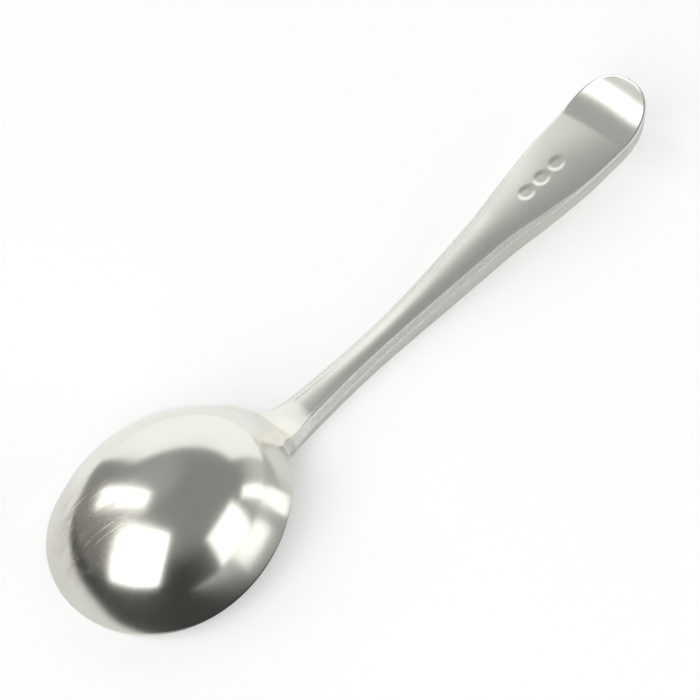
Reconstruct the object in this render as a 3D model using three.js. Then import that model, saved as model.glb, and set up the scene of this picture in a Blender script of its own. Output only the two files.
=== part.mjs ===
// A salt spoon lying face down on a table: an oval bowl, a handle and the brazed seam between them.
// Millimetres, +Z up, +X from the bowl to the handle's end; the table is the plane z = 0.
import * as THREE from 'three';

// Bowl
const bowlFront = 10.5; // from the crown of the bowl to the front of the rim
const bowlHeel = 12.5; // from the crown of the bowl to the heel of the rim
const bowlWidth = 19.8;
const bowlDepth = 8.2; // rim plane to the outside of the crown
const bowlWall = 0.9; // at the crown
const rimWall = 0.8; // across the lip of the rim
const rimLand = 0.3; // height of the upright edge round the lip
const domeFlatness = 0.06; // larger is shallower towards the rim
const wallStart = 0.9; // share of the way out at which the dome turns into a straight wall
const rimTilt = 8.5; // degrees that the rim plane rises from its front to its heel

// Neck, which the bowl and the handle share
const neckTab = 1.6; // from the heel of the rim to the seam
const neckReach = 1.5; // step, repeated, by which the neck runs into the bowl from the heel
const shoulderInset = 0.9; // from the heel to the place where the sides of the neck leave the rim
const shoulderWidth = 8.3; // of the neck there
const neckFlare = 7; // at the heel
const neckWidth = 5.45; // at the seam
const neckFoot = 1.05; // height of the underside at the seam
const neckInnerZ = 5.6; // height of the back two steps inside the heel
const neckMiddleZ = 5.1; // one step inside the heel
const neckHeelZ = 4.2; // at the heel
const neckSeamZ = 2.4; // at the seam
const neckLowZ = 1.62; // halfway from the seam to the throat
const neckFlank = 2; // fall of the bowl's shoulders beside the neck, for each millimetre outwards
const neckBlend = 1.4; // softness of the run from the bowl into the neck
const brazeFilm = 0.2; // thickness of the brazed seam

// Handle lengths, one after the other from the seam
const neckLength = 3.7; // to the throat, where the underside meets the table
const stemLength = 9.5; // to the waist, the narrowest place
const middleLength = 16.5; // to the middle, where the handle starts to widen
const spreadLength = 6; // to the lower part of the blade
const flareLength = 6; // to the upper part of the blade
const bladeLength = 5.26; // to the widest place
const tipLength = 4.62; // of the rounded end
const tipFullness = 2.4; // 2 is an ellipse, larger is blunter
const footLength = 11; // of the flat under the stem, from the throat

// Handle widths
const throatWidth = 3.84;
const waistWidth = 3.12;
const middleWidth = 4.72;
const spreadWidth = 6.34;
const flareWidth = 7.66;
const bladeWidth = 7.98;

// Handle heights
const bendLength = 5.68; // of the end that turns up
const curveLength = 1; // of the curve from the blade into that end
const endLength = 1.88; // of the last part, which is steeper still
const bendRise = 3.22; // of the underside where the bend starts
const curveRise = 3.52; // after that curve
const endRise = 4.95; // where the last part starts
const tipRise = 6.4; // at the very end
const neckSideHeight = 0.88; // upright side face at the throat
const waistSideHeight = 1.3;
const middleSideHeight = 1.86;
const flareSideHeight = 1.52;
const bladeSideHeight = 1.45;
const tipSideHeight = 1.4;
const seamBevel = 0.65; // width of the bevel along each edge of the back, at the seam
const neckBevel = 0.7;
const waistBevel = 0.7;
const middleBevel = 0.62;
const flareBevel = 0.22;
const bladeBevel = 0.14;
const seamFall = 0.9; // how far the bevel falls over that width, at the seam
const neckFall = 0.5;
const waistFall = 0.38;
const middleFall = 0.3;
const flareFall = 0.18;
const bladeFall = 0.14;
const bevelLimit = 0.5; // largest share of half the width that a bevel takes
const neckCrown = 0.12; // rise of the back between its bevels
const flareCrown = 0.33;
const bladeCrown = 0.16;

// Fineness of the facets
const roundSteps = 56;
const neckSteps = 4;
const backRings = 12;
const cavityRings = 9;
const handleStep = 1.3;
const tipSteps = 10;
const tipSweep = 89; // degrees of the quarter round that the end makes before its small flat
const crownSteps = 6;
const halvings = 40; // when the place where two outlines cross is looked for

// Places along the spoon that follow from the sizes
const seamX = bowlHeel + neckTab;
const handleX = seamX + brazeFilm;
const throatX = handleX + neckLength;
const waistX = throatX + stemLength;
const middleX = waistX + middleLength;
const spreadX = middleX + spreadLength;
const flareX = spreadX + flareLength;
const bladeX = flareX + bladeLength;
const tipX = bladeX + tipLength;
const rimSlope = Math.tan(THREE.MathUtils.degToRad(rimTilt));
const shoulderX = bowlHeel - shoulderInset;

// A smooth curve through a few points, without overshoot: value at x.
function through(points) {
  const last = points.length - 1;
  const slopes = points.slice(1).map(([x, v], i) => (v - points[i][1]) / (x - points[i][0]));
  const tangents = points.map((_, i) => {
    if (i === 0 || i === last) return slopes[Math.min(i, last - 1)];
    const product = slopes[i - 1] * slopes[i];
    return product <= 0 ? 0 : (2 * product) / (slopes[i - 1] + slopes[i]);
  });
  return (x) => {
    let i = 0;
    while (i < last - 1 && x > points[i + 1][0]) i += 1;
    const [x0, v0] = points[i];
    const [x1, v1] = points[i + 1];
    const run = x1 - x0;
    const t = THREE.MathUtils.clamp((x - x0) / run, 0, 1);
    const ease = t * t * (3 - 2 * t);
    const bend = t * (1 - t) * ((1 - t) * tangents[i] - t * tangents[i + 1]) * run;
    return v0 + (v1 - v0) * ease + bend;
  };
}

const halfWidth = through([
  [shoulderX, shoulderWidth / 2],
  [bowlHeel, neckFlare / 2],
  [seamX, neckWidth / 2],
  [throatX, throatWidth / 2],
  [waistX, waistWidth / 2],
  [middleX, middleWidth / 2],
  [spreadX, spreadWidth / 2],
  [flareX, flareWidth / 2],
  [bladeX, bladeWidth / 2],
]);
const underside = through([
  [shoulderX, rimPlane(shoulderX)],
  [seamX, neckFoot],
  [throatX, 0],
  [throatX + footLength, 0],
  [tipX - bendLength, bendRise],
  [tipX - bendLength + curveLength, curveRise],
  [tipX - endLength, endRise],
  [tipX, tipRise],
]);
const sideHeight = through([
  [throatX, neckSideHeight],
  [waistX, waistSideHeight],
  [middleX, middleSideHeight],
  [flareX, flareSideHeight],
  [bladeX, bladeSideHeight],
  [tipX, tipSideHeight],
]);
const bevelSize = through([
  [seamX, seamBevel],
  [throatX, neckBevel],
  [waistX, waistBevel],
  [middleX, middleBevel],
  [flareX, flareBevel],
  [bladeX, bladeBevel],
]);
const bevelFall = through([
  [seamX, seamFall],
  [throatX, neckFall],
  [waistX, waistFall],
  [middleX, middleFall],
  [flareX, flareFall],
  [bladeX, bladeFall],
]);
const neckBack = through([
  [bowlHeel - 2 * neckReach, neckInnerZ],
  [bowlHeel - neckReach, neckMiddleZ],
  [bowlHeel, neckHeelZ],
  [seamX, neckSeamZ],
  [(seamX + throatX) / 2, neckLowZ],
  [throatX, neckSideHeight + neckFall],
  [throatX + neckReach, neckSideHeight + neckFall],
]);
const crownRise = through([
  [throatX, neckCrown],
  [flareX, flareCrown],
  [bladeX, bladeCrown],
  [tipX, 0],
]);

// Half the width of the handle seen from above, with its rounded end.
function planHalf(x) {
  const past = THREE.MathUtils.clamp((x - bladeX) / tipLength, 0, 1);
  return halfWidth(Math.min(x, bladeX)) * (1 - past ** tipFullness) ** (1 / tipFullness);
}

// Width of the bevel on each side of a section.
function bevelWidth(x, half) {
  return Math.min(bevelSize(x), half * bevelLimit);
}

// Height of the back along the edges of its crown.
function backLine(x) {
  return x < throatX ? neckBack(x) : underside(x) + sideHeight(x) + bevelFall(x);
}

// Height of the back at the distance y from the middle of a section.
function backHeight(x, y, half) {
  const flat = half - bevelWidth(x, half);
  const across = Math.min(Math.abs(y) / flat, 1);
  const down = (Math.max(Math.abs(y) - flat, 0) * bevelFall(x)) / bevelSize(x);
  return backLine(x) - down + crownRise(x) * (1 - across * across);
}

// Distance from the crown's foot to the rim in the direction u, measured level.
function rimRadius(u, inset) {
  const long = (bowlHeel + bowlFront) / 2 + ((bowlHeel - bowlFront) / 2) * Math.cos(u) - inset;
  return 1 / Math.hypot(Math.cos(u) / long, Math.sin(u) / (bowlWidth / 2 - inset));
}

// Profile of the dome: 1 at the crown, 0 at the rim, with a straight wall near the rim and past it.
function domeShare(rho) {
  const run = (1 - wallStart) / wallStart;
  const edge = (wallStart / 2) * (domeFlatness + Math.sqrt(domeFlatness ** 2 + (4 * run) / wallStart));
  const keep = (1 - edge * edge) / (wallStart * wallStart);
  const round = Math.sqrt(1 - keep * Math.min(rho, wallStart) ** 2);
  const wall = ((keep * wallStart) / edge) * Math.max(rho - wallStart, 0);
  return (round - domeFlatness - wall) / (1 - domeFlatness);
}

function rimPlane(x) {
  return (x + bowlFront) * rimSlope;
}

// Height of the edge round the foot of bowl and neck.
function footHeight(x) {
  return x > shoulderX ? underside(x) : rimPlane(x);
}

function smoothMax(a, b, blend) {
  const near = Math.max(blend - Math.abs(a - b), 0);
  return Math.max(a, b) + (near * near) / (4 * blend);
}

// Back of the bowl, with the neck running into its heel.
function bowlBack(x, y) {
  const rho = Math.hypot(x, y) / rimRadius(Math.atan2(y, x), 0);
  const dome = rimPlane(x) + rimLand + (bowlDepth - rimLand) * domeShare(rho);
  if (x <= 0) return dome;
  const half = halfWidth(x);
  const outside = Math.max(Math.abs(y) - half, 0);
  const neck = backHeight(x, Math.min(Math.abs(y), half), half) - outside * neckFlank;
  return Math.max(smoothMax(dome, neck, Math.min(neckBlend, x)), footHeight(x) + rimLand);
}

// Angle at which the side of the neck leaves the rim.
function shoulderAngle() {
  let low = 0;
  let high = Math.PI / 2;
  for (let i = 0; i < halvings; i += 1) {
    const middle = (low + high) / 2;
    const reach = rimRadius(middle, 0);
    if (reach * Math.sin(middle) < halfWidth(reach * Math.cos(middle))) low = middle;
    else high = middle;
  }
  return high;
}

// Distance from the crown's foot to the outline of bowl and neck in the direction u.
function outlineRadius(u, shoulder) {
  const turn = Math.abs(Math.atan2(Math.sin(u), Math.cos(u)));
  if (turn >= shoulder) return rimRadius(u, 0);
  const corner = Math.atan2(halfWidth(seamX), seamX);
  if (turn <= corner) return seamX / Math.cos(turn);
  let low = rimRadius(turn, 0);
  let high = seamX / Math.cos(turn);
  for (let i = 0; i < halvings; i += 1) {
    const middle = (low + high) / 2;
    if (middle * Math.sin(turn) < halfWidth(middle * Math.cos(turn))) low = middle;
    else high = middle;
  }
  return low;
}

// Directions round the bowl: close together at the neck, even elsewhere.
function directions(shoulder) {
  const corner = Math.atan2(halfWidth(seamX), seamX);
  const stops = [-corner, corner, shoulder, 2 * Math.PI - shoulder, 2 * Math.PI - corner];
  const counts = [2 * neckSteps, neckSteps, roundSteps, neckSteps];
  return counts.flatMap((count, i) => Array.from({ length: count }, (_, j) => (
    stops[i] + ((stops[i + 1] - stops[i]) * j) / count
  )));
}

// Closed body from rings of equally many points, each end closed with a fan round its middle point.
function bodyFromRings(rings, first, last) {
  const size = rings[0].length;
  const positions = [first, ...rings.flat(), last].flat();
  const end = 1 + rings.length * size;
  const index = [];
  for (let j = 0; j < size; j += 1) {
    const next = (j + 1) % size;
    index.push(0, 1 + j, 1 + next);
    for (let i = 0; i < rings.length - 1; i += 1) {
      const a = 1 + i * size + j;
      const b = 1 + i * size + next;
      index.push(a, a + size, b, b, a + size, b + size);
    }
    index.push(end, end - size + next, end - size + j);
  }
  const geometry = new THREE.BufferGeometry();
  geometry.setAttribute('position', new THREE.Float32BufferAttribute(positions, 3));
  geometry.setIndex(index);
  geometry.computeVertexNormals();
  return geometry;
}

function bowlGeometry() {
  const shoulder = shoulderAngle();
  const angles = directions(shoulder);
  const reach = angles.map((u) => outlineRadius(u, shoulder));
  const point = (u, radius, height) => {
    const x = radius * Math.cos(u);
    const y = radius * Math.sin(u);
    return [x, y, height(x, y)];
  };
  const rings = [];
  for (let i = 1; i <= backRings; i += 1) {
    rings.push(angles.map((u, j) => point(u, (reach[j] * i) / backRings, bowlBack)));
  }
  rings.push(angles.map((u, j) => point(u, reach[j], footHeight)));
  const cavityDepth = bowlDepth - bowlWall;
  for (let i = cavityRings; i >= 1; i -= 1) {
    const rho = i / cavityRings;
    const cavity = (x) => rimPlane(x) + cavityDepth * domeShare(rho);
    rings.push(angles.map((u) => point(u, rimRadius(u, rimWall) * rho, cavity)));
  }
  return bodyFromRings(rings, [0, 0, bowlBack(0, 0)], [0, 0, rimPlane(0) + cavityDepth]);
}

// One section of the handle, in order round its edge.
function handleSection(x) {
  const half = planHalf(x);
  const base = underside(x);
  const flat = half - bevelWidth(x, half);
  const back = Array.from({ length: crownSteps + 1 }, (_, i) => (2 * flat * i) / crownSteps - flat);
  const top = [-half, ...back, half].map((y) => [x, y, backHeight(x, y, half)]);
  return [...top, [x, half, base], [x, -half, base]];
}

function sectionMiddle(x) {
  return [x, 0, (underside(x) + backHeight(x, 0, planHalf(x))) / 2];
}

function loft(stations) {
  const ends = [stations[0], stations[stations.length - 1]].map(sectionMiddle);
  return bodyFromRings(stations.map(handleSection), ...ends);
}

function handleStations() {
  const count = Math.ceil((bladeX - handleX) / handleStep);
  const straight = Array.from({ length: count + 1 }, (_, i) => handleX + ((bladeX - handleX) * i) / count);
  const round = Array.from({ length: tipSteps }, (_, i) => (
    bladeX + tipLength * Math.sin(THREE.MathUtils.degToRad((tipSweep * (i + 1)) / tipSteps))
  ));
  return [...straight, ...round];
}

const silver = (colour, roughness) => (
  new THREE.MeshStandardMaterial({ color: colour, roughness, metalness: 1 })
);

function piece(name, geometry, material) {
  const mesh = new THREE.Mesh(geometry, material);
  mesh.name = name;
  return mesh;
}

const spoon = new THREE.Group();
spoon.add(
  piece('bowl', bowlGeometry(), silver(0xd2d1cc, 0.16)),
  piece('braze_seam', loft([seamX, handleX]), silver(0xc4c1b8, 0.35)),
  piece('handle', loft(handleStations()), silver(0xcfcec9, 0.18)),
);
spoon.position.x = (bowlFront - tipX) / 2;

export default spoon;
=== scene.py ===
"""A salt spoon in polished silver plate, lying face down on a white table."""
import math

import bpy
import numpy as np
from mathutils import Matrix, Quaternion, Vector


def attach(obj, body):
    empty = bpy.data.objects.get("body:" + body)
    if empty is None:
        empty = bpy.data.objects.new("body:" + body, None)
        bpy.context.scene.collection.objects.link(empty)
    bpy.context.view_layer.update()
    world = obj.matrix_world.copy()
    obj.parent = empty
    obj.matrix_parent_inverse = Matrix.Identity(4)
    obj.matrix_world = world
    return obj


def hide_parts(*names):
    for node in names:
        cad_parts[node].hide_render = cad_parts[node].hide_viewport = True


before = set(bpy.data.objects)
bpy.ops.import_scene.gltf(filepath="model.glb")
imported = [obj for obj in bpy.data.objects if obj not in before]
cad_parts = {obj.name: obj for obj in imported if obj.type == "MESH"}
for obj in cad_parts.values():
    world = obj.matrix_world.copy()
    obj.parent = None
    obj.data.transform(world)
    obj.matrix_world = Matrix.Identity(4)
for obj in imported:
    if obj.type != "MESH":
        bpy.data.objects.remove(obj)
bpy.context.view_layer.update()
MM = 0.001

# Bowl, in millimetres from the foot of its crown
BOWL_FRONT = 10.5
BOWL_HEEL = 12.5
BOWL_WIDTH = 19.8
BOWL_DEPTH = 8.2
BOWL_WALL = 0.9
RIM_WALL = 0.8
RIM_LAND = 0.3
RIM_SLOPE = math.tan(math.radians(8.5))
DOME_FLATNESS = 0.06
WALL_START = 0.9
WALL_SOFTNESS = 0.08
LIP_SOFTNESS = 0.12
LIP_FADE = 0.15

# Neck, which the bowl and the handle share
NECK_TAB = 1.6
NECK_REACH = 1.5
SHOULDER_INSET = 0.9
SHOULDER_WIDTH = 8.3
NECK_FLARE = 7.0
NECK_WIDTH = 5.45
NECK_FOOT = 1.05
NECK_INNER_Z = 5.6
NECK_MIDDLE_Z = 5.1
NECK_HEEL_Z = 4.2
NECK_SEAM_Z = 2.4
NECK_LOW_Z = 1.62
NECK_FLANK = 2.0
NECK_BLEND = 1.4
LEAST_BLEND = 0.001
BRAZE_FILM = 0.2

# Handle lengths, one after the other from the seam
NECK_LENGTH = 3.7
STEM_LENGTH = 9.5
MIDDLE_LENGTH = 16.5
SPREAD_LENGTH = 6.0
FLARE_LENGTH = 6.0
BLADE_LENGTH = 5.26
TIP_LENGTH = 4.62
TIP_FULLNESS = 2.4
FOOT_LENGTH = 11.0
BEND_LENGTH = 5.68
CURVE_LENGTH = 1.0
END_LENGTH = 1.88

# Handle widths
THROAT_WIDTH = 3.84
WAIST_WIDTH = 3.12
MIDDLE_WIDTH = 4.72
SPREAD_WIDTH = 6.34
FLARE_WIDTH = 7.66
BLADE_WIDTH = 7.98

# Handle heights: underside, upright side, and rise of the back between its bevels
BEND_RISE = 3.22
CURVE_RISE = 3.52
END_RISE = 4.95
TIP_RISE = 6.4
NECK_SIDE_HEIGHT = 0.88
WAIST_SIDE_HEIGHT = 1.3
MIDDLE_SIDE_HEIGHT = 1.86
FLARE_SIDE_HEIGHT = 1.52
BLADE_SIDE_HEIGHT = 1.45
TIP_SIDE_HEIGHT = 1.4
NECK_CROWN = 0.12
FLARE_CROWN = 0.33
BLADE_CROWN = 0.16

# Bevels along the back: width, and fall over that width
SEAM_BEVEL = 0.65
NECK_BEVEL = 0.7
WAIST_BEVEL = 0.7
MIDDLE_BEVEL = 0.62
FLARE_BEVEL = 0.22
BLADE_BEVEL = 0.14
SEAM_FALL = 0.9
NECK_FALL = 0.5
WAIST_FALL = 0.38
MIDDLE_FALL = 0.3
FLARE_FALL = 0.18
BLADE_FALL = 0.14
BEVEL_LIMIT = 0.5

# Edges of the handle: softness in millimetres, the burr's rise and reach as shares of the bevel
BEVEL_SOFTNESS = 0.12
UNDER_SOFTNESS = 0.08
EDGE_ROUND = 0.1
BURR_RISE = 0.062
BURR_REACH = 0.2
SIDE_MIDDLE = 0.6
SIDE_WEAR = 0.3
WEAR_FADE = 0.2
LEAST_WEAR_FADE = 0.02

# Row of plain oval punches on the blade
PUNCH_START = 50.2
PUNCH_PITCH = 2.3
PUNCH_COUNT = 3.0
PUNCH_ASIDE = 0.1
PUNCH_LENGTH = 1.7
PUNCH_WIDTH = 1.25
PUNCH_DEPTH = 0.1
PUNCH_SOFTNESS = 0.3
FACING_UP = 0.5

# Places along the spoon that follow from the sizes
SHOULDER_X = BOWL_HEEL - SHOULDER_INSET
SEAM_X = BOWL_HEEL + NECK_TAB
HANDLE_X = SEAM_X + BRAZE_FILM
THROAT_X = HANDLE_X + NECK_LENGTH
WAIST_X = THROAT_X + STEM_LENGTH
MIDDLE_X = WAIST_X + MIDDLE_LENGTH
SPREAD_X = MIDDLE_X + SPREAD_LENGTH
FLARE_X = SPREAD_X + FLARE_LENGTH
BLADE_X = FLARE_X + BLADE_LENGTH
TIP_X = BLADE_X + TIP_LENGTH
BEND_X = TIP_X - BEND_LENGTH
END_X = TIP_X - END_LENGTH
ORIGIN_X = (BOWL_FRONT - TIP_X) / 2

# Fineness of the meshes
HALVINGS = 48
NECK_END_STEPS = 48
NECK_SIDE_STEPS = 28
RIM_STEPS = 300
BACK_RINGS = 96
BACK_CROWDING = 1.35
LIP_STEPS = 5
HOLLOW_RINGS = 60
HOLLOW_CROWDING = 0.8
HANDLE_STEP = 0.14
HANDLE_COLUMNS = 81
COLUMN_CROWDING = 1.6
TIP_STEPS = 72
TIP_SWEEP = 89.4
SEAM_SECTIONS = 4
CREASE = 38

# Skins of the bowl, as its blank marks them
BACK, LIP, HOLLOW = 0, 1, 2

# Silver of the pieces
BOWL_TINT = (0.88, 0.875, 0.8)
BOWL_ROUGHNESS = 0.17
HANDLE_TINT = (0.97, 0.963, 0.887)
HANDLE_ROUGHNESS = 0.32
SEAM_ROUGHNESS = 0.31

# Patterns in the silver, with scales for metres
CLOUDS = {"scale": 170.0, "detail": 4.0, "low": 0.4, "high": 0.75}
GRAIN = {"scale": 5200.0, "detail": 2.0}
GRAIN_CONTRAST = (0.35, 0.65)
HAIRLINES = {"detail": 2.0, "low": 0.64, "high": 0.76}
HAIRLINE_STRETCH = 60.0
HAIRLINE_SETS = (((0.2, 0.1, 0.9), 5200.0), ((0.1, -0.3, -0.5), 6800.0), ((0.0, 0.4, 2.1), 6000.0))
CLOUD_DULLING = 0.9
HAIRLINE_TINT = (0.97, 0.97, 0.95)
SPECKLE_DARK = (0.86, 0.855, 0.81)
SPECKLE_LIGHT = (1.0, 1.0, 0.98)
# Painted shade: darker tint for the handle's side faces and rounded edges
SIDE_SHADE_TINT = (0.64, 0.635, 0.59)
GRAIN_BUMP = {"Strength": 0.35, "Distance": 0.00003}

# How much of each pattern shows in the colour, and how much it dulls the polish
CLOUD_SHARE, CLOUD_DULL = 0.7, 0.06
HAIRLINE_SHARE, HAIRLINE_DULL = 0.2, 0.06
STAIN_SHARE, STAIN_DULL = 0.8, 0.1
HAIR_SHARE = 0.7
WORN_SHARE, WORN_DULL = 0.9, 0.24
# Share of the painted shade on the handle's side faces and rounded edges
SIDE_SHADE_SHARE = 0.55

# Brown stain on one flank of the bowl, in metres and radians
STAIN_PLACE = (-0.0346, 0.0022, 0.0062)
STAIN_CORE = 0.00195
STAIN_REACH = 0.0065
STAIN_TURN = (0.0, -0.62, -0.55)
STAIN_TINT = (0.62, 0.57, 0.46)
STAIN_GROUND = 0.2
STAIN_STREAKS = {"scale": 1200.0, "detail": 3.0, "low": 0.35, "high": 0.7}
STAIN_HAIRS = {"scale": 3200.0, "detail": 2.0, "low": 0.55, "high": 0.7}
STREAK_STRETCH = 7.0
HAIR_STRETCH = 30.0

# End of the handle, rubbed bright by the hand, in metres along the spoon
RUBBED_START = 0.0322
RUBBED_END = 0.0345
RUBBED_SHINE = 0.16

# Table: heights and places in millimetres, edges as normal, place and softness
TABLE_REACH = 1500
TABLE_TOP = -0.02
TABLE_WHITE = 0.95
TABLE_GLOW = 0.32
SHEET_GLOW = 0.08
BACK_GLOW = 0.16
BACK_GLOW_START = (-30, 0)
BACK_GLOW_SIDE = (-1, 4)
SHEET_EDGES = (
    ((0.987, 0.16), -44.7, 1.5),
    ((0.797, 0.604), -35.7, 1.0),
    ((0.035, 0.999), -9.2, 2.6),
)
RIGHT_SIDE = ((0.9, -0.43), -12.0, 8.0)
FAR_DARK = 0.05
FAR_GREY = 0.45

# Glares on the table: direction from the bowl in degrees, start and spread
GLARES = ((-34.5, 17.6, 0.11), (-62, 21.5, 0.25))
GLARE_LEVEL = 1.3
GLARE_EDGE = 1
GLARE_SOFTNESS = 0.04

# Room, with a white backdrop, and its glows: azimuth, elevation and reach in degrees, and strength
BACKDROP_TURN = math.radians(33)
BACKDROP_RISE = 1.2
BACKDROP_LEFT = 1.15
BACKDROP_RIGHT = 1.0
BACKDROP_TOP_FADE = (-0.03, 0.05)
BACKDROP_SIDE_FADE = (-0.05, 0.05)
ROOM_GREY = 0.25
ROOM_DARK = 0.045
DARK_TURN = (0.1, 0.9)
DARK_TOP = (0.38, 0.86)
ROOM_GLOWS = ((-18, 0, 38, 0.3), (88, 65, 28, 0.1))

# Soft boxes: azimuth, elevation, width and height at one metre, roll and brightness
BOX_DISTANCE = 1.5
SOFT_BOXES = {
    "left_large_box": (188, 33.5, 0.94, 0.96, 12, 1.9),
    "left_small_box": (119, 46, 0.26, 0.85, -15, 1.9),
    "right_large_box": (-70, 20, 0.59, 0.69, 1, 1.2),
    "right_small_box": (-37, 15, 0.145, 0.5, 15, 1.2),
}

# The photograph's camera, in millimetres, degrees and pixels
PICTURE = 700
FOCAL_PIXELS = 2365.9
SENSOR = 36.0
CLIP_START = 5
CAMERA_DISTANCE = 220.0
CAMERA_ELEVATION = math.radians(50.064)
CAMERA_TURN = math.radians(48.72)
CAMERA_AIM = Vector((26.631 + ORIGIN_X, 2.008, 0.0))


def through(*points):
    """A smooth curve through a few points, without overshoot."""
    places, values = np.array(points, float).T
    slopes = np.diff(values) / np.diff(places)
    before, after = slopes[:-1], slopes[1:]
    same_way = before * after > 0
    inner = np.where(same_way, 2 * before * after / np.where(same_way, before + after, 1), 0)
    tangents = np.concatenate([slopes[:1], inner, slopes[-1:]])

    def curve(x):
        i = np.clip(np.searchsorted(places, x) - 1, 0, len(places) - 2)
        run = places[i + 1] - places[i]
        t = np.clip((x - places[i]) / run, 0, 1)
        ease = t * t * (3 - 2 * t)
        bend = t * (1 - t) * ((1 - t) * tangents[i] - t * tangents[i + 1]) * run
        return values[i] + (values[i + 1] - values[i]) * ease + bend

    return curve


def rim_plane(x):
    return (x + BOWL_FRONT) * RIM_SLOPE


half_width = through(
    (SHOULDER_X, SHOULDER_WIDTH / 2), (BOWL_HEEL, NECK_FLARE / 2), (SEAM_X, NECK_WIDTH / 2),
    (THROAT_X, THROAT_WIDTH / 2), (WAIST_X, WAIST_WIDTH / 2), (MIDDLE_X, MIDDLE_WIDTH / 2),
    (SPREAD_X, SPREAD_WIDTH / 2), (FLARE_X, FLARE_WIDTH / 2), (BLADE_X, BLADE_WIDTH / 2),
)
underside = through(
    (SHOULDER_X, rim_plane(SHOULDER_X)), (SEAM_X, NECK_FOOT), (THROAT_X, 0), (THROAT_X + FOOT_LENGTH, 0),
    (BEND_X, BEND_RISE), (BEND_X + CURVE_LENGTH, CURVE_RISE), (END_X, END_RISE), (TIP_X, TIP_RISE),
)
side_height = through(
    (THROAT_X, NECK_SIDE_HEIGHT), (WAIST_X, WAIST_SIDE_HEIGHT), (MIDDLE_X, MIDDLE_SIDE_HEIGHT),
    (FLARE_X, FLARE_SIDE_HEIGHT), (BLADE_X, BLADE_SIDE_HEIGHT), (TIP_X, TIP_SIDE_HEIGHT),
)
bevel_size = through(
    (SEAM_X, SEAM_BEVEL), (THROAT_X, NECK_BEVEL), (WAIST_X, WAIST_BEVEL),
    (MIDDLE_X, MIDDLE_BEVEL), (FLARE_X, FLARE_BEVEL), (BLADE_X, BLADE_BEVEL),
)
bevel_fall = through(
    (SEAM_X, SEAM_FALL), (THROAT_X, NECK_FALL), (WAIST_X, WAIST_FALL),
    (MIDDLE_X, MIDDLE_FALL), (FLARE_X, FLARE_FALL), (BLADE_X, BLADE_FALL),
)
neck_back = through(
    (BOWL_HEEL - 2 * NECK_REACH, NECK_INNER_Z), (BOWL_HEEL - NECK_REACH, NECK_MIDDLE_Z),
    (BOWL_HEEL, NECK_HEEL_Z), (SEAM_X, NECK_SEAM_Z), ((SEAM_X + THROAT_X) / 2, NECK_LOW_Z),
    (THROAT_X, NECK_SIDE_HEIGHT + NECK_FALL), (THROAT_X + NECK_REACH, NECK_SIDE_HEIGHT + NECK_FALL),
)
crown_rise = through((THROAT_X, NECK_CROWN), (FLARE_X, FLARE_CROWN), (BLADE_X, BLADE_CROWN), (TIP_X, 0))


def plan_half(x):
    """Half the width of the handle seen from above, with its rounded end."""
    past = np.clip((x - BLADE_X) / TIP_LENGTH, 0, 1)
    return half_width(np.minimum(x, BLADE_X)) * (1 - past ** TIP_FULLNESS) ** (1 / TIP_FULLNESS)


def bevel_width(x, half):
    return np.minimum(bevel_size(x), half * BEVEL_LIMIT)


def back_line(x):
    """Height of the back along the edges of its crown."""
    return np.where(x < THROAT_X, neck_back(x), underside(x) + side_height(x) + bevel_fall(x))


def crown_height(x, y, half):
    """Height of the back between its bevels, above those edges."""
    across = np.minimum(np.abs(y) / (half - bevel_width(x, half)), 1)
    return crown_rise(x) * (1 - across * across)


def rim_radius(u, inset):
    """Distance from the crown's foot to the rim in the direction u."""
    long = (BOWL_HEEL + BOWL_FRONT) / 2 + (BOWL_HEEL - BOWL_FRONT) / 2 * np.cos(u) - inset
    return 1 / np.hypot(np.cos(u) / long, np.sin(u) / (BOWL_WIDTH / 2 - inset))


def foot_height(x):
    """Height of the edge round the foot of bowl and neck."""
    return np.where(x > SHOULDER_X, underside(x), rim_plane(x))


def neck_height(x, y):
    """Height of the neck's back, running on down both flanks."""
    half = half_width(x)
    bevel = bevel_width(x, half)
    down = np.clip(np.abs(y) - half + bevel, 0, bevel) * bevel_fall(x) / bevel
    outside = np.maximum(np.abs(y) - half, 0)
    return back_line(x) + crown_height(x, y, half) - down - outside * NECK_FLANK


def bisect(low, high, inside):
    """The place between low and high where inside turns false."""
    for _ in range(HALVINGS):
        middle = (low + high) / 2
        keep = inside(middle)
        low = np.where(keep, middle, low)
        high = np.where(keep, high, middle)
    return low


def turn_from_handle(u):
    """Angle between the direction u and the handle, the same on both sides."""
    return np.abs(np.arctan2(np.sin(u), np.cos(u)))


def shoulder_angle():
    """Angle at which the side of the neck leaves the rim."""
    def inside(u):
        reach = rim_radius(u, 0)
        return reach * np.sin(u) < half_width(reach * np.cos(u))

    return float(bisect(np.array(0.0), np.array(math.pi / 2), inside))


def corner_angle():
    """Angle of the corner where the side of the neck meets the seam."""
    return math.atan2(half_width(SEAM_X), SEAM_X)


def outline_radius(u, shoulder):
    """Distance from the crown's foot to the outline of bowl and neck in the direction u."""
    turn = turn_from_handle(u)
    to_seam = SEAM_X / np.cos(np.minimum(turn, shoulder))
    rim = rim_radius(turn, 0)
    side = bisect(rim, to_seam, lambda r: r * np.sin(turn) < half_width(r * np.cos(turn)))
    return np.where(turn >= shoulder, rim, np.where(turn <= corner_angle(), to_seam, side))


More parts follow.
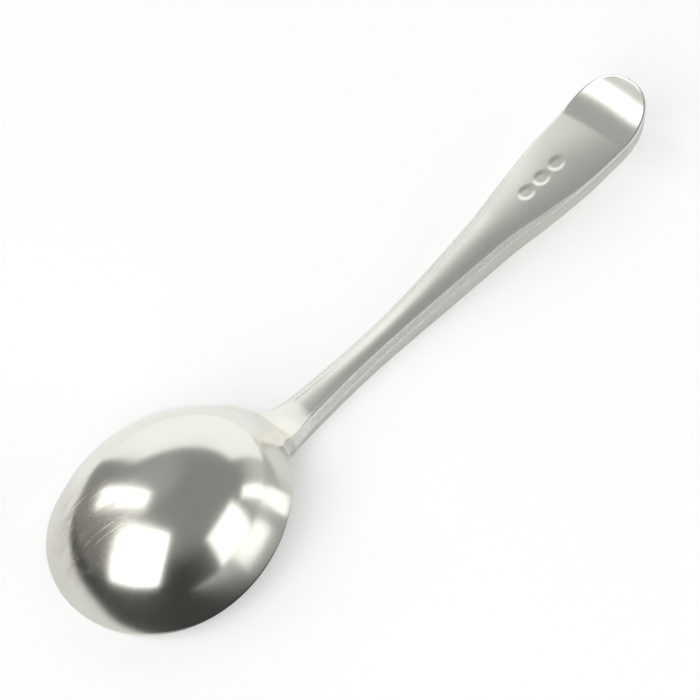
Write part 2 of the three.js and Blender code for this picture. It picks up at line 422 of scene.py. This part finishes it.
class Value:
    """A socket of a node tree. Arithmetic on it adds Math nodes."""

    def __init__(self, recipe, socket):
        self.recipe = recipe
        self.socket = socket

    def math(self, operation, *terms):
        return self.recipe.math(operation, self, *terms)

    def __add__(self, other):
        return self.math("ADD", other)

    __radd__ = __add__

    def __sub__(self, other):
        return self.math("SUBTRACT", other)

    def __rsub__(self, other):
        return self.recipe.math("SUBTRACT", other, self)

    def __mul__(self, other):
        return self.math("MULTIPLY", other)

    __rmul__ = __mul__

    def __truediv__(self, other):
        return self.math("DIVIDE", other)

    def __abs__(self):
        return self.math("ABSOLUTE")

    def root(self):
        return self.math("SQRT")

    def at_least(self, other):
        return self.math("MAXIMUM", other)

    def at_most(self, other):
        return self.math("MINIMUM", other)

    def over(self, other):
        return self.math("GREATER_THAN", other)

    def step(self, low, high):
        """0 below low, 1 above high and smooth between."""
        return self.recipe.add(
            "ShaderNodeMapRange", {"interpolation_type": "SMOOTHSTEP"},
            {"Value": self, "From Min": low, "From Max": high},
        )


class Recipe:
    """Adds nodes to a tree, each from its type, its settings and the values or links of its sockets."""

    def __init__(self, tree):
        self.tree = tree

    def add(self, kind, settings=None, sockets=None, output=0):
        node = self.tree.nodes.new(kind)
        for key, value in (settings or {}).items():
            setattr(node, key, value)
        for key, value in (sockets or {}).items():
            if isinstance(value, Value):
                self.tree.links.new(value.socket, node.inputs[key])
            else:
                node.inputs[key].default_value = value
        return Value(self, node.outputs[output]) if len(node.outputs) else None

    def math(self, operation, *terms):
        return self.add("ShaderNodeMath", {"operation": operation}, dict(enumerate(terms)))

    def split(self, vector):
        """The X, Y and Z of a vector."""
        node = self.add("ShaderNodeSeparateXYZ", None, {0: vector}).socket.node
        return [Value(self, output) for output in node.outputs]

    def mix_colour(self, factor, first, second):
        return self.add("ShaderNodeMix", {"data_type": "RGBA"}, {0: factor, 6: first, 7: second}, 2)


def shape_tree(name, inputs):
    """An empty Geometry Nodes tree with named inputs, as a recipe, and the values of those inputs."""
    tree = bpy.data.node_groups.new(name, "GeometryNodeTree")
    tree.interface.new_socket("Geometry", in_out="OUTPUT", socket_type="NodeSocketGeometry")
    tree.interface.new_socket("Geometry", in_out="INPUT", socket_type="NodeSocketGeometry")
    for label, value in inputs.items():
        kind = "NodeSocketMaterial" if label == "Finish" else "NodeSocketFloat"
        socket = tree.interface.new_socket(label, in_out="INPUT", socket_type=kind)
        if label != "Finish":
            socket.default_value = value
    nodes = Recipe(tree)
    entry = tree.nodes.new("NodeGroupInput")
    return nodes, {label: Value(nodes, entry.outputs[label]) for label in ("Geometry", *inputs)}


def end_tree(nodes, shape, finish):
    """Ends a Geometry Nodes tree with real geometry in its finish."""
    real = nodes.add("GeometryNodeRealizeInstances", None, {"Geometry": shape})
    done = nodes.add("GeometryNodeSetMaterial", None, {"Geometry": real, "Material": finish})
    nodes.add("NodeGroupOutput", None, {"Geometry": done})


def grown_mesh(name, start, tree, inputs):
    """Runs a Geometry Nodes tree on a starting mesh and gives back the plain mesh."""
    maker = bpy.data.objects.new(name, start)
    bpy.context.collection.objects.link(maker)
    modifier = maker.modifiers.new(name, "NODES")
    modifier.node_group = tree
    for item in tree.interface.items_tree:
        if item.in_out == "INPUT" and item.name in inputs:
            modifier[item.identifier] = inputs[item.name]
    graph = bpy.context.evaluated_depsgraph_get()
    mesh = bpy.data.meshes.new_from_object(maker.evaluated_get(graph), depsgraph=graph)
    maker.modifiers.remove(modifier)
    bpy.data.objects.remove(maker)
    return mesh


def ring_mesh(name, rings, first, last):
    """Closed mesh from rings of equally many points, each end closed round a middle point."""
    count, size, _ = rings.shape
    points = np.concatenate([[first], rings.reshape(-1, 3), [last]]) * MM
    points[:, 0] += ORIGIN_X * MM
    index = 1 + np.arange(count * size).reshape(count, size)
    beside = np.roll(index, -1, axis=1)
    quads = np.stack([index[:-1], index[1:], beside[1:], beside[:-1]], -1).reshape(-1, 4)
    end = len(points) - 1
    start_fan = [(0, a, b) for a, b in zip(index[0].tolist(), beside[0].tolist())]
    end_fan = [(end, b, a) for a, b in zip(index[-1].tolist(), beside[-1].tolist())]
    mesh = bpy.data.meshes.new(name)
    mesh.from_pydata(points.tolist(), [], quads.tolist() + start_fan + end_fan)
    return mesh


def set_attribute(mesh, name, first, values, last):
    """Gives each point of a ring mesh a number, in the order first point, rings, last point."""
    numbers = np.concatenate([[first], values.ravel(), [last]]).astype(np.float32)
    mesh.attributes.new(name, "FLOAT", "POINT").data.foreach_set("value", numbers)


def place_piece(name, mesh, node):
    """Puts a finished mesh in the scene in place of its plain solid."""
    mesh.name = name
    mesh.shade_smooth()
    mesh.set_sharp_from_angle(angle=math.radians(CREASE))
    piece = bpy.data.objects.new(name, mesh)
    bpy.context.collection.objects.link(piece)
    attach(piece, "root")
    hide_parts(node)


def bowl_directions(shoulder):
    """Directions round the bowl: close together at the neck, even elsewhere."""
    corner = corner_angle()
    stops = (-corner, corner, shoulder, 2 * math.pi - shoulder, 2 * math.pi - corner)
    counts = (NECK_END_STEPS, NECK_SIDE_STEPS, RIM_STEPS, NECK_SIDE_STEPS)
    return np.concatenate([
        np.linspace(a, b, n, endpoint=False) for a, b, n in zip(stops[:-1], stops[1:], counts)
    ])


def blank_levels(u, shoulder):
    """Rings of the bowl's blank from crown to crown: distance out, skin and height over the foot."""
    outside = outline_radius(u, shoulder)
    inside = rim_radius(u, RIM_WALL)
    soft = LIP_SOFTNESS * np.clip((turn_from_handle(u) - shoulder) / LIP_FADE, 0, 1)
    flat = 0 * u
    outwards = 1 - (1 - np.linspace(0, 1, BACK_RINGS + 1)[1:]) ** BACK_CROWDING
    inwards = np.linspace(1, 0, HOLLOW_RINGS + 1)[1:-1] ** HOLLOW_CROWDING
    quarter = np.linspace(0, math.pi / 2, LIP_STEPS)
    over_lip = np.linspace(outside - soft, inside + soft, LIP_STEPS + 1)[1:-1]
    back = [(outside * k, BACK, flat) for k in outwards]
    outer = [(outside - soft * (1 - math.cos(a)), LIP, soft * (1 - math.sin(a))) for a in quarter]
    lip = [(radius, LIP, flat) for radius in over_lip]
    inner = [(inside + soft * (1 - math.sin(a)), LIP, soft * (1 - math.cos(a))) for a in quarter]
    hollow = [(inside * k, HOLLOW, flat) for k in inwards]
    return back + outer + lip + inner + hollow


def flat_blank():
    """The bowl's blank before it is raised: all its rings lie flat, with their heights as attributes."""
    shoulder = shoulder_angle()
    u = bowl_directions(shoulder)
    radii, skins, lifts = zip(*blank_levels(u, shoulder))
    radius = np.array(radii)
    lift = np.array(lifts)
    skin = np.repeat(skins, len(u)).reshape(radius.shape)
    x = radius * np.cos(u)
    y = radius * np.sin(u)
    rho = radius / np.where(skin == HOLLOW, rim_radius(u, RIM_WALL), rim_radius(u, 0))
    neck = np.where(x > 0, neck_height(np.maximum(x, 0), y), -BOWL_DEPTH)
    crown_foot = rim_plane(0) * MM
    mesh = ring_mesh("bowl_blank", np.stack([x, y, 0 * x], -1), (0, 0, 0), (0, 0, 0))
    set_attribute(mesh, "skin", BACK, skin, HOLLOW)
    set_attribute(mesh, "rho", 0, rho, 0)
    set_attribute(mesh, "lift", 0, lift * MM, 0)
    set_attribute(mesh, "foot", crown_foot, foot_height(x) * MM, crown_foot)
    set_attribute(mesh, "neck", -BOWL_DEPTH * MM, neck * MM, -BOWL_DEPTH * MM)
    return mesh


def raising_tree(inputs):
    """Raises the flat blank into the bowl, with the neck running into its heel."""
    nodes, size = shape_tree("raise_bowl", inputs)
    skin, rho, lift, foot, neck = (
        nodes.add("GeometryNodeInputNamedAttribute", {"data_type": "FLOAT"}, {"Name": name})
        for name in ("skin", "rho", "lift", "foot", "neck")
    )
    x, y, _ = nodes.split(nodes.add("GeometryNodeInputPosition"))
    start, flat = size["Wall start"], size["Flatness"]
    run = (1 - start) / start
    edge = start / 2 * (flat + (flat * flat + 4 * run / start).root())
    keep = (1 - edge * edge) / (start * start)

    def profile(out):
        past = out - start
        past = (past + (past * past + WALL_SOFTNESS * WALL_SOFTNESS).root()) / 2
        inner = out - past
        return (1 - keep * inner * inner).root() - keep * start / edge * past

    share = (profile(rho) - profile(1)) / (profile(0) - profile(1))
    along = x - size["Crown"]
    rim = (along + size["Front"]) * size["Rim slope"]
    dome = rim + size["Land"] + (size["Depth"] - size["Land"]) * share
    blend = along.at_most(size["Neck blend"]).at_least(LEAST_BLEND * MM)
    near = (blend - abs(dome - neck)).at_least(0)
    back = (dome.at_least(neck) + near * near / (4 * blend)).at_least(foot + size["Land"])
    hollow = rim + (size["Depth"] - size["Wall"]) * share
    past_back = skin.over((BACK + LIP) / 2)
    past_lip = skin.over((LIP + HOLLOW) / 2)
    height = back * (1 - past_back) + (foot + lift) * (past_back - past_lip) + hollow * past_lip
    raised = nodes.add("ShaderNodeCombineXYZ", None, {0: x, 1: y, 2: height})
    shape = nodes.add("GeometryNodeSetPosition", None, {"Geometry": size["Geometry"], "Position": raised})
    end_tree(nodes, shape, size["Finish"])
    return nodes.tree


def make_bowl(finish):
    sizes = {
        "Depth": BOWL_DEPTH * MM, "Wall": BOWL_WALL * MM, "Land": RIM_LAND * MM, "Front": BOWL_FRONT * MM,
        "Crown": ORIGIN_X * MM, "Neck blend": NECK_BLEND * MM, "Rim slope": RIM_SLOPE,
        "Flatness": DOME_FLATNESS, "Wall start": WALL_START, "Finish": finish,
    }
    mesh = grown_mesh("bowl_maker", flat_blank(), raising_tree(sizes), sizes)
    for name in ("skin", "rho", "lift", "foot", "neck"):
        mesh.attributes.remove(mesh.attributes[name])
    place_piece("silver_bowl", mesh, "bowl")


def from_outline(x, y):
    """Distance of a place on the handle from the outline of its plan, measured square to it."""
    past = np.clip((x - BLADE_X) / TIP_LENGTH, 0, 1)
    half = half_width(np.minimum(x, BLADE_X))
    outwards = (past ** TIP_FULLNESS + (np.abs(y) / half) ** TIP_FULLNESS) ** (1 / TIP_FULLNESS)
    return np.maximum(1 - outwards, 0) * (half + (TIP_LENGTH - half) * past)


def smooth_max(a, b, blend):
    near = np.maximum(blend - np.abs(a - b), 0)
    return np.maximum(a, b) + near * near / (4 * blend)


def rounding(d, radius):
    """How far a rounded edge stays behind the face at the distance d from it."""
    return radius * (1 - np.sqrt(1 - (1 - np.minimum(d / radius, 1)) ** 2))


def handle_columns():
    """Places across a section from one edge to the other, close together near the edges."""
    t = np.linspace(-1, 1, HANDLE_COLUMNS)
    return np.sign(t) * (1 - (1 - np.abs(t)) ** COLUMN_CROWDING)


def handle_sections(stations):
    """Sections of the handle, each in order round its edge: back, side, underside, side."""
    columns = handle_columns()
    x = stations[:, None]
    half = plan_half(x)
    base = underside(x)
    t = np.concatenate([columns, [1.0], columns[::-1], [-1.0]])
    y = half * t[None, :]
    d = from_outline(x, y)
    bevel = bevel_width(x, half)
    fall = bevel_fall(x) / bevel_size(x)
    side = back_line(x) - bevel * fall - base
    chamfer = smooth_max(bevel - d, 0 * d, np.minimum(bevel, BEVEL_SOFTNESS)) * fall
    grown = np.clip((x - HANDLE_X) / (THROAT_X - HANDLE_X), 0, 1)
    burr = grown * BURR_RISE * bevel * np.exp(-((d / bevel - 1) / BURR_REACH) ** 2)
    back = back_line(x) + crown_height(x, y, half) - chamfer - rounding(d, EDGE_ROUND) + burr
    under = base + rounding(d, UNDER_SOFTNESS)
    middle = base + side * SIDE_MIDDLE
    count = len(columns)
    z = np.concatenate([back[:, :count], middle, under[:, count + 1:-1], middle], axis=1)
    worn = np.clip((bevel - d) / np.maximum(bevel * WEAR_FADE, LEAST_WEAR_FADE), 0, 1)
    worn[:, count:] = SIDE_WEAR
    # Painted shade: 1 on the side faces and along the rounded edges, which then take a darker tint
    side_shade = np.clip(1 - d / EDGE_ROUND, 0, 1)
    return np.stack([np.broadcast_to(x, z.shape), y, z], -1), {"worn": worn, "side_shade": side_shade}


def end_middle(section):
    """Middle point of the flat end that a section makes."""
    heights = section[:, 2]
    return section[0][0], 0, (heights.min() + heights.max()) / 2


def loft(name, stations):
    """Closed bar through the handle's sections at the given places, with its wear and its painted side
    shade as attributes.
    """
    sections, wear_and_shade = handle_sections(stations)
    mesh = ring_mesh(name, sections, end_middle(sections[0]), end_middle(sections[-1]))
    for label, values in wear_and_shade.items():
        set_attribute(mesh, label, 0, values, 0)
    return mesh


def punching_tree(inputs):
    """Presses a row of plain oval punches into the back of the handle."""
    nodes, size = shape_tree("punch_row", inputs)
    x, y, _ = nodes.split(nodes.add("GeometryNodeInputPosition"))
    _, _, up = nodes.split(nodes.add("GeometryNodeInputNormal"))
    out = x - size["Start"]
    nearest = (out / size["Pitch"]).math("ROUND").at_least(0).at_most(size["Count"] - 1)
    along = (out - nearest * size["Pitch"]) * 2 / size["Length"]
    across = (y - size["Aside"]) * 2 / size["Width"]
    reach = (along * along + across * across).root()
    dent = (1 - reach.step(1 - size["Softness"], 1 + size["Softness"])) * up.over(FACING_UP)
    sink = nodes.add("ShaderNodeCombineXYZ", None, {2: 0 - dent * size["Depth"]})
    shape = nodes.add("GeometryNodeSetPosition", None, {"Geometry": size["Geometry"], "Offset": sink})
    end_tree(nodes, shape, size["Finish"])
    return nodes.tree


def make_handle(finish):
    straight = np.arange(HANDLE_X, BLADE_X, HANDLE_STEP)
    rounded = BLADE_X + TIP_LENGTH * np.sin(np.radians(np.linspace(0, TIP_SWEEP, TIP_STEPS)))
    blank = loft("handle_blank", np.concatenate([straight, rounded]))
    sizes = {
        "Start": (PUNCH_START + ORIGIN_X) * MM, "Pitch": PUNCH_PITCH * MM, "Count": PUNCH_COUNT,
        "Aside": PUNCH_ASIDE * MM, "Length": PUNCH_LENGTH * MM, "Width": PUNCH_WIDTH * MM,
        "Depth": PUNCH_DEPTH * MM, "Softness": PUNCH_SOFTNESS, "Finish": finish,
    }
    mesh = grown_mesh("handle_maker", blank, punching_tree(sizes), sizes)
    place_piece("silver_handle", mesh, "handle")


def make_seam(finish):
    mesh = loft("seam", np.linspace(SEAM_X, HANDLE_X, SEAM_SECTIONS))
    mesh.materials.append(finish)
    place_piece("brazed_seam", mesh, "braze_seam")


def noise(nodes, vector, scale, detail):
    return nodes.add("ShaderNodeTexNoise", None, {"Vector": vector, "Scale": scale, "Detail": detail})


def patches(nodes, vector, scale, detail, low, high):
    """Noise that is 0 below low and 1 above high."""
    return noise(nodes, vector, scale, detail).step(low, high)


def drawn_out(nodes, place, turn, stretch):
    """Coordinates for a pattern that is drawn out in one direction."""
    return nodes.add("ShaderNodeMapping", {"vector_type": "TEXTURE"}, {
        "Vector": place, "Rotation": turn, "Scale": (stretch, 1.0, 1.0),
    })


def hairline_scratches(nodes, place):
    """1 on fine scratches in a few directions."""
    scratch = 0
    for turn, scale in HAIRLINE_SETS:
        lines = patches(nodes, drawn_out(nodes, place, turn, HAIRLINE_STRETCH), scale, **HAIRLINES)
        scratch = lines.at_least(scratch)
    return scratch


def brown_stain(nodes, place):
    """The streaked stain on the bowl's flank, and the bright hairs in it."""
    away = nodes.add("ShaderNodeVectorMath", {"operation": "DISTANCE"}, {0: place, 1: STAIN_PLACE}, "Value")
    streaks = patches(nodes, drawn_out(nodes, place, STAIN_TURN, STREAK_STRETCH), **STAIN_STREAKS)
    hairs = patches(nodes, drawn_out(nodes, place, STAIN_TURN, HAIR_STRETCH), **STAIN_HAIRS)
    stain = (1 - away.step(STAIN_CORE, STAIN_REACH)) * (STAIN_GROUND + streaks * (1 - STAIN_GROUND))
    return stain, hairs * stain


def opaque(tint):
    return (*tint, 1.0)


def polished_silver(name, tint, roughness):
    """Silver plate with hairline scratches, a stain on the bowl and worn, grainy edges on the handle, whose
    side faces and rounded edges get a darker tint as painted shade.
    """
    material = bpy.data.materials.new(name)
    material.use_nodes = True
    material.node_tree.nodes.clear()
    nodes = Recipe(material.node_tree)
    place = nodes.add("ShaderNodeTexCoord", None, None, "Object")
    cloud = patches(nodes, place, **CLOUDS)
    grain = noise(nodes, place, **GRAIN)
    scratch = hairline_scratches(nodes, place)
    stain, hairs = brown_stain(nodes, place)
    worn, side_shade = (
        nodes.add("ShaderNodeAttribute", {"attribute_name": label}, None, "Fac")
        for label in ("worn", "side_shade")
    )
    along, _, _ = nodes.split(place)
    rubbed = along.step(RUBBED_START, RUBBED_END)
    dull = tuple(part * CLOUD_DULLING for part in tint)
    colour = nodes.mix_colour(cloud * CLOUD_SHARE, opaque(tint), opaque(dull))
    colour = nodes.mix_colour(stain * STAIN_SHARE, colour, opaque(STAIN_TINT))
    lines = scratch * HAIRLINE_SHARE + hairs * HAIR_SHARE
    colour = nodes.mix_colour(lines, colour, opaque(HAIRLINE_TINT))
    speckle = nodes.mix_colour(grain.step(*GRAIN_CONTRAST), opaque(SPECKLE_DARK), opaque(SPECKLE_LIGHT))
    colour = nodes.mix_colour(worn * WORN_SHARE, colour, speckle)
    # Painted shade on the handle's side faces and rounded edges
    colour = nodes.mix_colour(side_shade * SIDE_SHADE_SHARE, colour, opaque(SIDE_SHADE_TINT))
    dulled = cloud * CLOUD_DULL + scratch * HAIRLINE_DULL + stain * STAIN_DULL + worn * WORN_DULL
    height = 1 - worn * grain - hairs
    surface = nodes.add("ShaderNodeBsdfPrincipled", None, {
        "Base Color": colour, "Roughness": roughness + dulled - rubbed * RUBBED_SHINE, "Metallic": 1.0,
        "Normal": nodes.add("ShaderNodeBump", None, {**GRAIN_BUMP, "Height": height}),
    })
    nodes.add("ShaderNodeOutputMaterial", None, {"Surface": surface})
    return material


def beyond(x, y, edge):
    """1 past a straight edge on the table and 0 before it."""
    (across, along), place, softness = edge
    return (x * across + y * along - place * MM).step(-softness * MM, softness * MM)


def glare(x, y, azimuth, start, spread):
    """1 where a lamp shines on the table: a wedge that starts at some distance from the bowl's crown."""
    cos_a, sin_a = math.cos(math.radians(azimuth)), math.sin(math.radians(azimuth))
    out = x - ORIGIN_X * MM
    along = out * cos_a + y * sin_a
    across = abs(y * cos_a - out * sin_a) / along.at_least(MM)
    started = along.step((start - GLARE_EDGE) * MM, (start + GLARE_EDGE) * MM)
    return started * (1 - across.step(spread - GLARE_SOFTNESS, spread + GLARE_SOFTNESS))


def table_finish():
    """White, with the spoon's shadow; the silver mirrors it white near the spoon and darker far out, as a
    painted reflection that only glossy rays see.
    """
    material = bpy.data.materials.new("white_table")
    material.use_nodes = True
    material.node_tree.nodes.clear()
    nodes = Recipe(material.node_tree)
    path = nodes.tree.nodes.new("ShaderNodeLightPath").outputs
    camera, mirror = (Value(nodes, path[name]) for name in ("Is Camera Ray", "Is Glossy Ray"))
    x, y, _ = nodes.split(nodes.add("ShaderNodeTexCoord", None, None, "Object"))
    # Painted reflection for glossy rays only: dark past the sheet's edges, grey on the right, bright
    # painted glares and a glow behind
    sheet = 1
    for edge in SHEET_EDGES:
        sheet = beyond(x, y, edge) * sheet
    far = FAR_DARK + beyond(x, y, RIGHT_SIDE) * (FAR_GREY - FAR_DARK)
    for wedge in GLARES:
        far = far.at_least(glare(x, y, *wedge) * GLARE_LEVEL)
    behind = (x + y).step(*(MM * place for place in BACK_GLOW_START))
    lit = SHEET_GLOW + BACK_GLOW * behind * y.step(*(MM * place for place in BACK_GLOW_SIDE))
    paper = nodes.add("ShaderNodeBsdfDiffuse", None, {"Color": opaque([TABLE_WHITE] * 3)})
    shown = nodes.add("ShaderNodeEmission", None, {"Color": camera * TABLE_GLOW + mirror * lit})
    white = nodes.add("ShaderNodeAddShader", None, {0: paper, 1: shown})
    dark = nodes.add("ShaderNodeEmission", None, {"Color": far})
    both = nodes.add("ShaderNodeMixShader", None, {0: mirror * (1 - sheet), 1: white, 2: dark})
    nodes.add("ShaderNodeOutputMaterial", None, {"Surface": both})
    return material


def white_table():
    mesh = bpy.data.meshes.new("table")
    sides = ((-1, -1), (1, -1), (1, 1), (-1, 1))
    corners = [Vector((TABLE_REACH * a, TABLE_REACH * b, TABLE_TOP)) * MM for a, b in sides]
    mesh.from_pydata(corners, [], [(0, 1, 2, 3)])
    mesh.materials.append(table_finish())
    table = bpy.data.objects.new("table", mesh)
    bpy.context.collection.objects.link(table)


def direction(azimuth, elevation):
    a, e = math.radians(azimuth), math.radians(elevation)
    return Vector((math.cos(a) * math.cos(e), math.sin(a) * math.cos(e), math.sin(e)))


def studio_room():
    """Grey room with a white backdrop behind the spoon."""
    world = bpy.data.worlds.new("studio")
    bpy.context.scene.world = world
    world.use_nodes = True
    world.node_tree.nodes.clear()
    nodes = Recipe(world.node_tree)
    x, y, z = nodes.split(nodes.add("ShaderNodeTexCoord", None, None, "Generated"))
    facing = x * math.cos(BACKDROP_TURN) + y * math.sin(BACKDROP_TURN)
    aside = y * math.cos(BACKDROP_TURN) - x * math.sin(BACKDROP_TURN)
    backdrop = (facing * BACKDROP_RISE - z).step(*BACKDROP_TOP_FADE)
    backdrop = backdrop * (1 - (aside - facing * BACKDROP_LEFT).step(*BACKDROP_SIDE_FADE))
    backdrop = backdrop * (aside + facing * BACKDROP_RIGHT).step(*BACKDROP_SIDE_FADE)
    dark = (0 - facing).step(*DARK_TURN) * (1 - z.step(*DARK_TOP))
    grey = ROOM_GREY - dark * (ROOM_GREY - ROOM_DARK)
    for azimuth, elevation, reach, strength in ROOM_GLOWS:
        middle = direction(azimuth, elevation)
        towards = x * middle.x + y * middle.y + z * middle.z
        grey = grey + towards.step(math.cos(math.radians(reach)), 1.0) * strength
    room = grey + backdrop * (1.0 - grey)
    camera = Value(nodes, nodes.tree.nodes.new("ShaderNodeLightPath").outputs["Is Camera Ray"])
    light = nodes.add("ShaderNodeBackground", None, {"Color": room + camera * (1.0 - room)})
    nodes.add("ShaderNodeOutputWorld", None, {"Surface": light})


def soft_box(name, azimuth, elevation, width, height, roll, brightness):
    """A rectangular lamp that faces the bowl from the given direction."""
    away = direction(azimuth, elevation)
    lamp = bpy.data.lights.new(name, "AREA")
    lamp.shape = "RECTANGLE"
    lamp.size, lamp.size_y = width * BOX_DISTANCE, height * BOX_DISTANCE
    lamp.energy = brightness * math.pi * lamp.size * lamp.size_y
    box = bpy.data.objects.new(name, lamp)
    box.location = Vector((ORIGIN_X * MM, 0, 0)) + away * BOX_DISTANCE
    turn = away.to_track_quat("Z", "Y") @ Quaternion((0, 0, 1), math.radians(roll))
    box.rotation_euler = turn.to_euler()
    bpy.context.collection.objects.link(box)


def photo_camera():
    """The camera that took the photograph."""
    sin_e, cos_e = math.sin(CAMERA_ELEVATION), math.cos(CAMERA_ELEVATION)
    sin_t, cos_t = math.sin(CAMERA_TURN), math.cos(CAMERA_TURN)
    right = Vector((cos_t, -sin_t, 0))
    ahead = Vector((sin_t, cos_t, 0))
    up = ahead * sin_e + Vector((0, 0, cos_e))
    back = -ahead * cos_e + Vector((0, 0, sin_e))
    data = bpy.data.cameras.new("photo_camera")
    data.sensor_width = SENSOR
    data.lens = FOCAL_PIXELS / PICTURE * SENSOR
    data.clip_start = CLIP_START * MM
    camera = bpy.data.objects.new("photo_camera", data)
    turn = Matrix((right, up, back)).transposed().to_4x4()
    camera.matrix_world = Matrix.Translation((CAMERA_AIM + back * CAMERA_DISTANCE) * MM) @ turn
    bpy.context.collection.objects.link(camera)
    bpy.context.scene.camera = camera


make_bowl(polished_silver("bowl_silver", BOWL_TINT, BOWL_ROUGHNESS))
make_seam(polished_silver("seam_silver", HANDLE_TINT, SEAM_ROUGHNESS))
make_handle(polished_silver("handle_silver", HANDLE_TINT, HANDLE_ROUGHNESS))
white_table()
studio_room()
for box_name, settings in SOFT_BOXES.items():
    soft_box(box_name, *settings)
photo_camera()
bpy.context.scene.view_settings.view_transform = "Standard"
